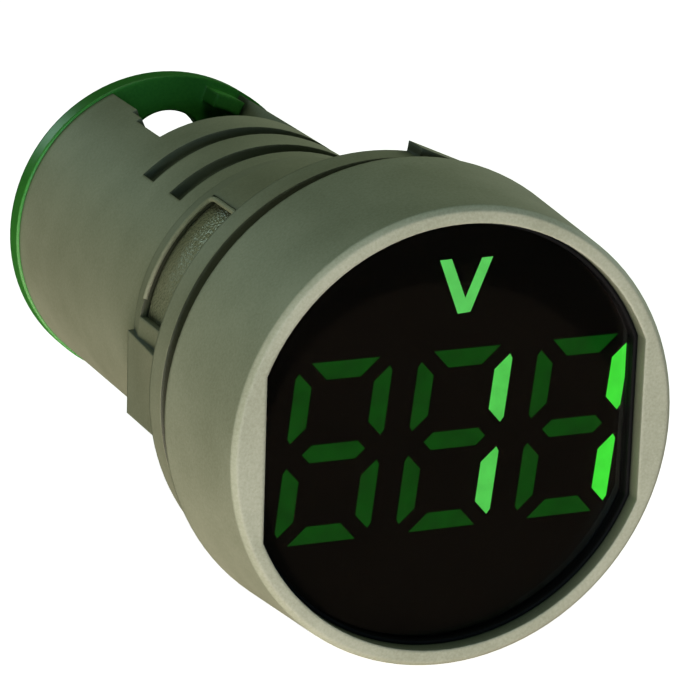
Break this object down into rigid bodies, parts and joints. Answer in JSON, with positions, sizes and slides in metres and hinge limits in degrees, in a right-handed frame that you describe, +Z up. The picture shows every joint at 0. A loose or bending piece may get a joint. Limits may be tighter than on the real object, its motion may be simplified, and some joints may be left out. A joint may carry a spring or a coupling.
{
  "type": "digital panel meter",
  "caption": "Round panel-mount digital voltmeter: flat-sided display window in a flanged head, grooved barrel with locking ring, and screw terminals under a green rear cover.",
  "frame": {"origin": "on the barrel's axis, on the panel's front surface, where the gasket seats", "axes": "+Y along the barrel to the rear, -Y to the viewer, +Z up"},
  "size_m": [0.0304, 0.0513, 0.0304],
  "materials": {
    "housing_plastic": "fine textured moulding",
    "frame_black": "matt black",
    "smoked_lens": "smoked clear plastic, glossy",
    "reflector_black": "matt black",
    "segment_dark": "unlit tinted resin",
    "segment_lit_tens": "lit resin",
    "segment_lit_units": "lit resin, brighter",
    "circuit_board": "glass fibre board",
    "tinned_metal": "tinned",
    "capacitor_box": "moulded box",
    "capacitor_can": "sleeved can",
    "chip_black": "moulded package",
    "resistor_body": "ceramic chip",
    "gasket_rubber": "matt rubber",
    "ring_plastic": "fine textured moulding",
    "carrier_plastic": "moulded",
    "terminal_brass": "stamped",
    "plated_steel": "zinc plated",
    "cover_green": "moulded, satin"
  },
  "bodies": {
    "case": {"housing": "housing_plastic", "lens_frame": "frame_black", "lens": "smoked_lens", "display_reflector": "reflector_black", "hundreds_segments": "segment_dark", "tens_dark_segments": "segment_dark", "tens_lit_segments": "segment_lit_tens", "units_dark_segments": "segment_dark", "units_lit_segments": "segment_lit_units", "display_board": "circuit_board", "main_board": "circuit_board", "board_pins": "tinned_metal", "dropping_capacitor": "capacitor_box", "smoothing_capacitor": "capacitor_can", "rectifier": "chip_black", "controller_chip": "chip_black", "resistors": "resistor_body", "gasket": "gasket_rubber", "terminal_carrier": "carrier_plastic", "terminal_plates": "terminal_brass", "rear_cover": "cover_green"},
    "thrust_ring": {"thrust_ring": "ring_plastic"},
    "locking_ring": {"locking_ring": "ring_plastic"},
    "clamp_upper": {"clamp_upper": "plated_steel"},
    "clamp_lower": {"clamp_lower": "plated_steel"},
    "screw_upper": {"screw_upper": "plated_steel"},
    "screw_lower": {"screw_lower": "plated_steel"}
  },
  "joints": [
    {"name": "thrust_ring_slide", "type": "slide", "parent": "case", "child": "thrust_ring", "axis": [0, 1, 0], "range_m": [-0.00134, 0.023]},
    {"name": "locking_ring_turn", "type": "hinge", "parent": "thrust_ring", "child": "locking_ring", "pos_m": [0, 0, 0], "axis": [0, 1, 0], "range_deg": [0, 90]},
    {"name": "clamp_upper_slide", "type": "slide", "parent": "case", "child": "clamp_upper", "axis": [0, 1, 0], "range_m": [0, 0.003]},
    {"name": "screw_upper_turn", "type": "hinge", "parent": "clamp_upper", "child": "screw_upper", "pos_m": [0, 0.0313, 0.0056], "axis": [0, -1, 0], "range_deg": [-2170, 0]},
    {"name": "clamp_lower_slide", "type": "slide", "parent": "case", "child": "clamp_lower", "axis": [0, 1, 0], "range_m": [0, 0.003]},
    {"name": "screw_lower_turn", "type": "hinge", "parent": "clamp_lower", "child": "screw_lower", "pos_m": [0, 0.0313, -0.0056], "axis": [0, -1, 0], "range_deg": [-2170, 0]}
  ],
  "couplings": [
    {"joint": "screw_upper_turn", "follows": "clamp_upper_slide", "rad_per_m": -12566},
    {"joint": "screw_lower_turn", "follows": "clamp_lower_slide", "rad_per_m": -12566}
  ]
}
